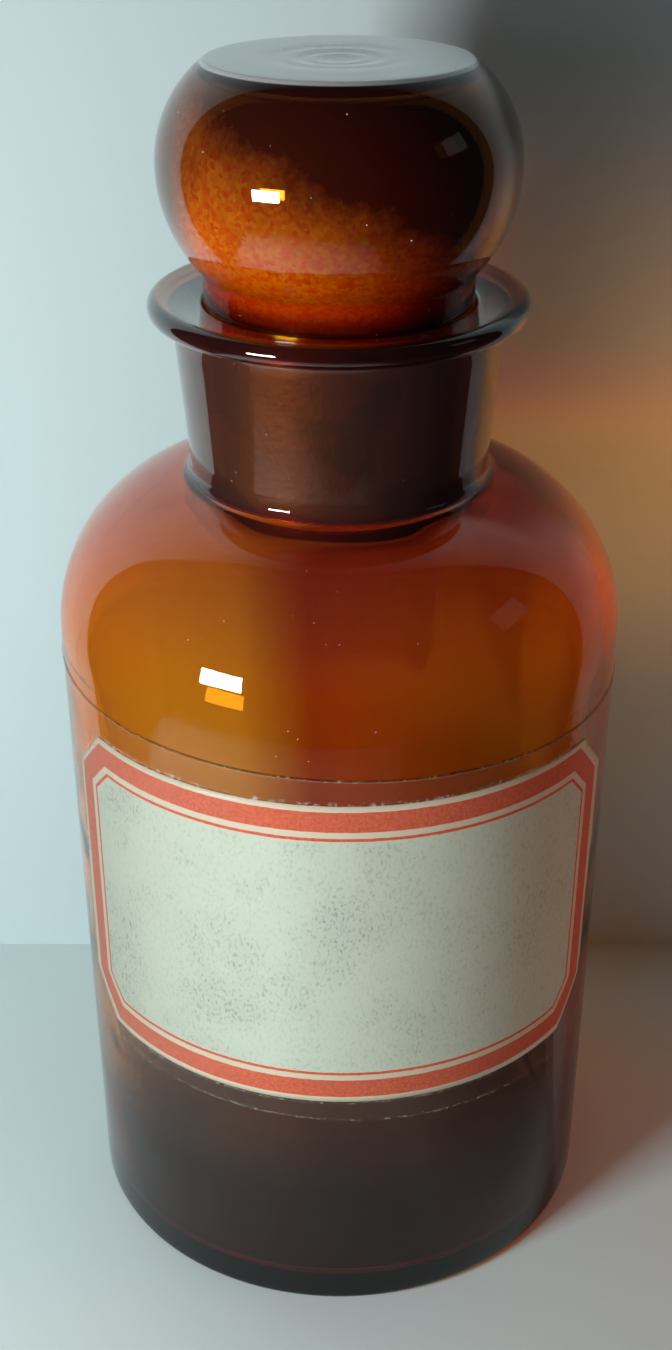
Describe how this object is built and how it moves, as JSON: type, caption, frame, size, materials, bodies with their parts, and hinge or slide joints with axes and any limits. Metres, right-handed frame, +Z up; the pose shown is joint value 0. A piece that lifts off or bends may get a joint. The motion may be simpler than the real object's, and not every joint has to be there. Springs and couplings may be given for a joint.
{
  "type": "reagent bottle",
  "caption": "Amber glass wide-mouth bottle with a round shoulder, flanged lip and hollow flat-topped ground stopper that lifts out, a paper label and clear film wound over it.",
  "frame": {"origin": "centre of the base, on the surface that the bottle stands on", "axes": "+Z up the bottle's axis to the stopper, label facing -Y"},
  "size_m": [0.0863, 0.0865, 0.1874],
  "materials": {
    "amber_glass": "blown and fire-polished amber glass, ground where stopper and neck meet",
    "label_paper": "aged printed paper, matt under clear film",
    "clear_film": "clear self-adhesive film, glossy"
  },
  "bodies": {
    "bottle_body": {"bottle": "amber_glass", "paper_label": "label_paper", "protective_film": "clear_film"},
    "stopper_body": {"stopper": "amber_glass"}
  },
  "joints": [
    {"name": "stopper_lift", "type": "slide", "parent": "bottle_body", "child": "stopper_body", "axis": [0, 0, 1], "range_m": [0, 0.12]}
  ]
}
